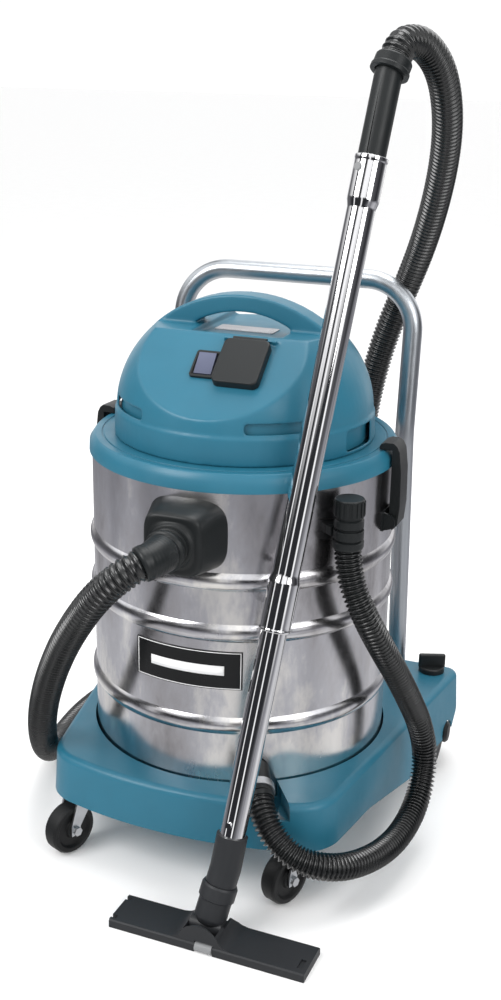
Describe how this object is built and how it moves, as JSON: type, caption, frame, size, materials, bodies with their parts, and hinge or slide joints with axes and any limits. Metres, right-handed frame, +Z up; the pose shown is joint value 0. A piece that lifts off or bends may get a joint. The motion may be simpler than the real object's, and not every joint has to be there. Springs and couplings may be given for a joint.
{
  "type": "shop vacuum",
  "caption": "Wheeled wet and dry shop vacuum with a ribbed steel drum, blue powered head, bent push handle, corrugated hoses, chrome wand and floor tool.",
  "frame": {"origin": "on the floor, on the drum's axis", "axes": "+Z up; -Y is the front, where the hose inlet is; +X to the right seen from the front"},
  "size_m": [0.6671, 0.8234, 1.1565],
  "materials": {
    "teal_plastic": "satin moulded",
    "black_plastic": "fine grain",
    "tool_plastic": "fine grain",
    "hose_plastic": "satin corrugated",
    "polished_steel": "polished",
    "chrome_tube": "mirror",
    "handle_tube": "satin silver",
    "zinc": "zinc plated",
    "wheel_rubber": "matt",
    "switch_cover": "translucent look",
    "grey_button": "fine grain",
    "plate_grey": "satin",
    "badge_face": "printed plate",
    "seal_rubber": "matt",
    "filter_cloth": "pleated",
    "motor_metal": "cast"
  },
  "bodies": {
    "trolley": {"base": "teal_plastic", "push_handle": "handle_tube", "rear_axle": "zinc", "castor_plate_right": "zinc", "castor_plate_left": "zinc", "drum": "polished_steel", "badge": "badge_face", "inlet_housing": "black_plastic", "inlet_cuff": "black_plastic", "suction_hose": "hose_plastic", "drain_stub": "black_plastic", "drain_clamp": "zinc", "drain_cuff": "black_plastic", "drain_hose": "hose_plastic", "drain_connector": "black_plastic", "drain_clip": "black_plastic", "latch_bracket_right": "black_plastic", "latch_bracket_left": "black_plastic", "lid_ring": "teal_plastic", "lid_seal": "seal_rubber", "dome": "teal_plastic", "switch_surround": "black_plastic", "socket_insert": "black_plastic", "rating_plate": "plate_grey", "cable_gland": "black_plastic", "motor_plate": "black_plastic", "motor_housing_right": "motor_metal", "motor_housing_left": "motor_metal", "filter_cage": "black_plastic", "filter_element": "filter_cloth", "lower_tube": "chrome_tube", "upper_tube": "chrome_tube", "grip_tube": "black_plastic", "tool_sleeve": "tool_plastic"},
    "rear_wheel_right": {"rear_wheel_right": "wheel_rubber", "hub_cap_right": "black_plastic"},
    "castor_fork_right": {"castor_fork_right": "zinc"},
    "castor_wheel_right": {"castor_wheel_right": "wheel_rubber"},
    "clamp_knob_right": {"clamp_knob_right": "black_plastic"},
    "latch_right": {"latch_right": "black_plastic"},
    "motor_fan_right": {"motor_fan_right": "motor_metal"},
    "rear_wheel_left": {"rear_wheel_left": "wheel_rubber", "hub_cap_left": "black_plastic"},
    "castor_fork_left": {"castor_fork_left": "zinc"},
    "castor_wheel_left": {"castor_wheel_left": "wheel_rubber"},
    "clamp_knob_left": {"clamp_knob_left": "black_plastic"},
    "latch_left": {"latch_left": "black_plastic"},
    "motor_fan_left": {"motor_fan_left": "motor_metal"},
    "rocker_switch": {"rocker_switch": "switch_cover"},
    "socket_cover": {"socket_cover": "black_plastic"},
    "drain_cap": {"drain_cap": "black_plastic"},
    "float_ball": {"float_ball": "grey_button"},
    "swivel_cuff": {"swivel_cuff": "black_plastic"},
    "grip_button": {"grip_button": "grey_button"},
    "spring_button": {"spring_button": "chrome_tube"},
    "tool_neck": {"tool_neck": "tool_plastic"},
    "tool_head": {"tool_head": "tool_plastic", "squeegee_front": "seal_rubber", "squeegee_rear": "seal_rubber"},
    "tool_roller": {"tool_roller": "grey_button"}
  },
  "joints": [
    {"name": "rear_wheel_right_spin", "type": "hinge", "parent": "trolley", "child": "rear_wheel_right", "pos_m": [0.257, 0.211, 0.062], "axis": [1, 0, 0], "continuous": true},
    {"name": "castor_right_swivel", "type": "hinge", "parent": "trolley", "child": "castor_fork_right", "pos_m": [0.167, -0.209, 0.09], "axis": [0, 0, 1], "continuous": true},
    {"name": "castor_wheel_right_spin", "type": "hinge", "parent": "castor_fork_right", "child": "castor_wheel_right", "pos_m": [0.1558, -0.23466, 0.0375], "axis": [0.9165, -0.4, 0], "continuous": true},
    {"name": "clamp_knob_right_turn", "type": "hinge", "parent": "trolley", "child": "clamp_knob_right", "pos_m": [0.25, 0.24, 0.16], "axis": [0, 0, 1], "continuous": true},
    {"name": "latch_right_release", "type": "hinge", "parent": "trolley", "child": "latch_right", "pos_m": [0.23186, -0.0081, 0.502], "axis": [0.0349, 0.9994, 0], "range_deg": [0, 50]},
    {"name": "motor_fan_right_spin", "type": "hinge", "parent": "trolley", "child": "motor_fan_right", "pos_m": [0.066, 0.022, 0.64], "axis": [0, 0, 1], "continuous": true},
    {"name": "rear_wheel_left_spin", "type": "hinge", "parent": "trolley", "child": "rear_wheel_left", "pos_m": [-0.257, 0.211, 0.062], "axis": [1, 0, 0], "continuous": true},
    {"name": "castor_left_swivel", "type": "hinge", "parent": "trolley", "child": "castor_fork_left", "pos_m": [-0.167, -0.209, 0.09], "axis": [0, 0, 1], "continuous": true},
    {"name": "castor_wheel_left_spin", "type": "hinge", "parent": "castor_fork_left", "child": "castor_wheel_left", "pos_m": [-0.1782, -0.23466, 0.0375], "axis": [0.9165, -0.4, 0], "continuous": true},
    {"name": "clamp_knob_left_turn", "type": "hinge", "parent": "trolley", "child": "clamp_knob_left", "pos_m": [-0.25, 0.24, 0.16], "axis": [0, 0, 1], "continuous": true},
    {"name": "latch_left_release", "type": "hinge", "parent": "trolley", "child": "latch_left", "pos_m": [-0.23112, 0.02022, 0.502], "axis": [-0.0872, -0.9962, 0], "range_deg": [0, 50]},
    {"name": "motor_fan_left_spin", "type": "hinge", "parent": "trolley", "child": "motor_fan_left", "pos_m": [-0.066, 0.022, 0.64], "axis": [0, 0, 1], "continuous": true},
    {"name": "rocker_switch_tilt", "type": "hinge", "parent": "trolley", "child": "rocker_switch", "pos_m": [-0.0172, -0.10975, 0.71764], "axis": [-1, 0, 0], "range_deg": [0, 12]},
    {"name": "socket_cover_hinge", "type": "hinge", "parent": "trolley", "child": "socket_cover", "pos_m": [0.034, -0.0782, 0.75248], "axis": [-1, 0, 0], "range_deg": [0, 95], "stiffness_Nm_per_rad": 0.12, "springref_deg": -34.38},
    {"name": "drain_cap_turn", "type": "hinge", "parent": "trolley", "child": "drain_cap", "pos_m": [0.201, -0.145, 0.558], "axis": [0, 0, 1], "continuous": true},
    {"name": "float_ball_lift", "type": "slide", "parent": "trolley", "child": "float_ball", "axis": [0, 0, 1], "range_m": [0, 0.06]},
    {"name": "swivel_cuff_turn", "type": "hinge", "parent": "trolley", "child": "swivel_cuff", "pos_m": [0.20041, -0.05155, 1.09713], "axis": [0.2116, 0.4632, 0.8606], "continuous": true},
    {"name": "grip_button_press", "type": "slide", "parent": "trolley", "child": "grip_button", "axis": [0.4221, 0.8618, -0.2813], "range_m": [0, 0.003], "stiffness_N_per_m": 400, "springref_m": -0.002},
    {"name": "spring_button_press", "type": "slide", "parent": "trolley", "child": "spring_button", "axis": [0.0872, 0.9573, -0.2756], "range_m": [0, 0.0028], "stiffness_N_per_m": 400, "springref_m": -0.002},
    {"name": "tool_neck_swivel", "type": "hinge", "parent": "trolley", "child": "tool_neck", "pos_m": [0.09865, -0.33899, 0.07164], "axis": [0.182, 0.3017, 0.9359], "range_deg": [-35, 35]},
    {"name": "tool_head_tilt", "type": "hinge", "parent": "tool_neck", "child": "tool_head", "pos_m": [0.089, -0.355, 0.022], "axis": [0.999, -0.0436, 0], "range_deg": [-30, 12]},
    {"name": "tool_roller_spin", "type": "hinge", "parent": "tool_head", "child": "tool_roller", "pos_m": [0.09482, -0.38193, 0.0072], "axis": [0.999, -0.0436, 0], "continuous": true}
  ]
}
